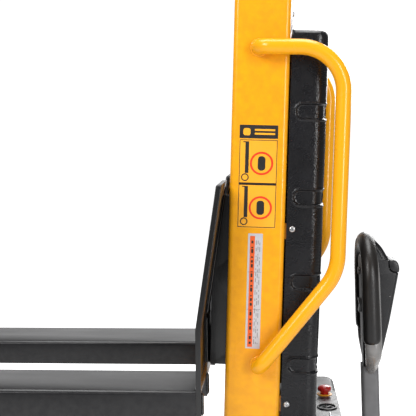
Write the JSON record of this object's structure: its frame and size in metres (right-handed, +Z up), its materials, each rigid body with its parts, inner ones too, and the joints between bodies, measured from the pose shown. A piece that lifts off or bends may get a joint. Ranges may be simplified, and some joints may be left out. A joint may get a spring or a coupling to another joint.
{
  "type": "electric pallet stacker",
  "caption": "Walk-behind electric pallet stacker: fork-over legs, raked mast with lift cylinder and chains, side grab handles, moulded cover, steered drive unit and loop-handle tiller.",
  "frame": {"origin": "on the floor, at the centre of the footprint's bounding box", "axes": "+X from the fork tips to the operator, +Y to the right-hand side of someone walking behind and facing the forks, +Z up"},
  "size_m": [1.735, 0.674, 2.06],
  "materials": {
    "yellow_paint": "glossy yellow powder coat",
    "black_paint": "semi-gloss black paint",
    "cover_plastic": "fine leather grain",
    "clear_panel": "clear polycarbonate",
    "steel_bright": "zinc plated or ground",
    "steel_chain": "oiled leaf chain",
    "cast_grey": "painted casting",
    "handle_grey": "moulded satin",
    "grip_rubber": "soft satin grip",
    "pod_plastic": "fine texture",
    "control_plastic": "satin",
    "tyre_poly": "polyurethane",
    "red_plastic": "glossy red",
    "battery_case": "moulded case"
  },
  "bodies": {
    "chassis": {"chassis_frame": "yellow_paint", "left_leg": "black_paint", "right_leg": "black_paint", "load_roller_axles": "steel_bright", "left_mast_channel": "yellow_paint", "right_mast_channel": "yellow_paint", "mast_top_plate": "yellow_paint", "mast_ties": "yellow_paint", "left_handle": "yellow_paint", "right_handle": "yellow_paint", "mast_cover": "cover_plastic", "cover_tabs": "yellow_paint", "cover_screws": "steel_bright", "mast_screen": "clear_panel", "hood": "cover_plastic", "battery": "battery_case", "pump_motor": "steel_bright", "oil_tank": "cast_grey", "motor_controller": "control_plastic", "lift_barrel": "black_paint", "cylinder_gland": "steel_bright", "rear_chains": "steel_chain", "steer_ring": "steel_bright", "charge_gauge": "control_plastic", "charger_socket": "control_plastic"},
    "lift_piston": {"lift_rod": "steel_bright", "crosshead": "black_paint", "sheave_pin": "steel_bright", "chain_wraps": "steel_chain"},
    "sheaves": {"chain_sheaves": "steel_bright"},
    "carriage": {"carriage_frame": "black_paint", "apron": "black_paint", "left_fork": "black_paint", "right_fork": "black_paint", "roller_pins": "steel_bright", "front_chains": "steel_chain"},
    "upper_rollers": {"upper_rollers": "steel_bright"},
    "lower_rollers": {"lower_rollers": "steel_bright"},
    "left_load_wheel": {"left_load_roller": "tyre_poly"},
    "right_load_wheel": {"right_load_roller": "tyre_poly"},
    "left_caster": {"left_caster_fork": "black_paint"},
    "right_caster": {"right_caster_fork": "black_paint"},
    "left_caster_roller": {"left_caster_wheel": "tyre_poly"},
    "right_caster_roller": {"right_caster_wheel": "tyre_poly"},
    "drive_unit": {"drive_gearbox": "cast_grey", "drive_motor": "black_paint", "tiller_base": "cast_grey", "pivot_pins": "steel_bright"},
    "drive_wheel": {"drive_hub": "cast_grey", "drive_tyre": "tyre_poly"},
    "tiller": {"tiller_arm": "cast_grey", "head_loop": "handle_grey", "grips": "grip_rubber", "head_pod": "pod_plastic"},
    "throttle": {"throttle": "control_plastic"},
    "rocker": {"lift_rocker": "control_plastic"},
    "horn": {"horn_button": "control_plastic"},
    "belly_switch": {"belly_button": "pod_plastic"},
    "key": {"key_switch": "steel_bright"},
    "stop": {"stop_button": "red_plastic"}
  },
  "joints": [
    {"name": "fork_lift", "type": "slide", "parent": "chassis", "child": "carriage", "axis": [0.0358, 0, 0.9994], "range_m": [-0.83554, 0.67043], "deforming": ["front_chains"]},
    {"name": "rod_lift", "type": "slide", "parent": "chassis", "child": "lift_piston", "axis": [0.0358, 0, 0.9994], "range_m": [-0.41778, 0.33522], "deforming": ["rear_chains"]},
    {"name": "sheave_turn", "type": "hinge", "parent": "lift_piston", "child": "sheaves", "pos_m": [0.42712, 0, 1.43506], "axis": [0, 1, 0], "range_deg": [-598.51, 480.26]},
    {"name": "upper_roller_turn", "type": "hinge", "parent": "carriage", "child": "upper_rollers", "pos_m": [0.4213, 0, 1.2724], "axis": [0, 1, 0], "range_deg": [-660.11, 822.65]},
    {"name": "lower_roller_turn", "type": "hinge", "parent": "carriage", "child": "lower_rollers", "pos_m": [0.41218, 0, 1.01756], "axis": [0, 1, 0], "range_deg": [-822.65, 660.11]},
    {"name": "steer", "type": "hinge", "parent": "chassis", "child": "drive_unit", "pos_m": [0.7275, 0, 0.33], "axis": [0, 0, 1], "range_deg": [-90, 90]},
    {"name": "drive_wheel_spin", "type": "hinge", "parent": "drive_unit", "child": "drive_wheel", "pos_m": [0.7275, 0, 0.105], "axis": [0, 1, 0], "continuous": true},
    {"name": "tiller_tilt", "type": "hinge", "parent": "drive_unit", "child": "tiller", "pos_m": [0.7275, 0, 0.4], "axis": [0, 1, 0], "range_deg": [0, 80]},
    {"name": "throttle_turn", "type": "hinge", "parent": "tiller", "child": "throttle", "pos_m": [0.71443, 0, 1.1099], "axis": [0, 1, 0], "range_deg": [-30, 30], "stiffness_Nm_per_rad": 0.5},
    {"name": "rocker_tilt", "type": "hinge", "parent": "tiller", "child": "rocker", "pos_m": [0.69363, 0, 1.06927], "axis": [0, 1, 0], "range_deg": [-8, 8], "stiffness_Nm_per_rad": 0.2},
    {"name": "horn_press", "type": "slide", "parent": "tiller", "child": "horn", "axis": [0.9996, 0, 0.0297], "range_m": [0, 0.003], "stiffness_N_per_m": 400},
    {"name": "belly_press", "type": "slide", "parent": "tiller", "child": "belly_switch", "axis": [-0.9996, 0, -0.0297], "range_m": [0, 0.006], "stiffness_N_per_m": 600},
    {"name": "key_turn", "type": "hinge", "parent": "chassis", "child": "key", "pos_m": [0.6015, -0.12, 0.79], "axis": [0, 0, 1], "range_deg": [0, 90]},
    {"name": "stop_press", "type": "slide", "parent": "chassis", "child": "stop", "axis": [0, 0, -1], "range_m": [0, 0.008]},
    {"name": "left_load_roller_spin", "type": "hinge", "parent": "chassis", "child": "left_load_wheel", "pos_m": [-0.7405, -0.243, 0.037], "axis": [0, 1, 0], "continuous": true},
    {"name": "left_caster_swivel", "type": "hinge", "parent": "chassis", "child": "left_caster", "pos_m": [0.7725, -0.235, 0.15], "axis": [0, 0, 1], "continuous": true},
    {"name": "left_caster_spin", "type": "hinge", "parent": "left_caster", "child": "left_caster_roller", "pos_m": [0.7975, -0.235, 0.05], "axis": [0, 1, 0], "continuous": true},
    {"name": "right_load_roller_spin", "type": "hinge", "parent": "chassis", "child": "right_load_wheel", "pos_m": [-0.7405, 0.243, 0.037], "axis": [0, 1, 0], "continuous": true},
    {"name": "right_caster_swivel", "type": "hinge", "parent": "chassis", "child": "right_caster", "pos_m": [0.7725, 0.235, 0.15], "axis": [0, 0, 1], "continuous": true},
    {"name": "right_caster_spin", "type": "hinge", "parent": "right_caster", "child": "right_caster_roller", "pos_m": [0.7975, 0.235, 0.05], "axis": [0, 1, 0], "continuous": true}
  ],
  "couplings": [
    {"joint": "rod_lift", "follows": "fork_lift", "ratio": 0.5},
    {"joint": "sheave_turn", "follows": "fork_lift", "rad_per_m": 12.5},
    {"joint": "upper_roller_turn", "follows": "fork_lift", "rad_per_m": -17.182},
    {"joint": "lower_roller_turn", "follows": "fork_lift", "rad_per_m": 17.182}
  ]
}
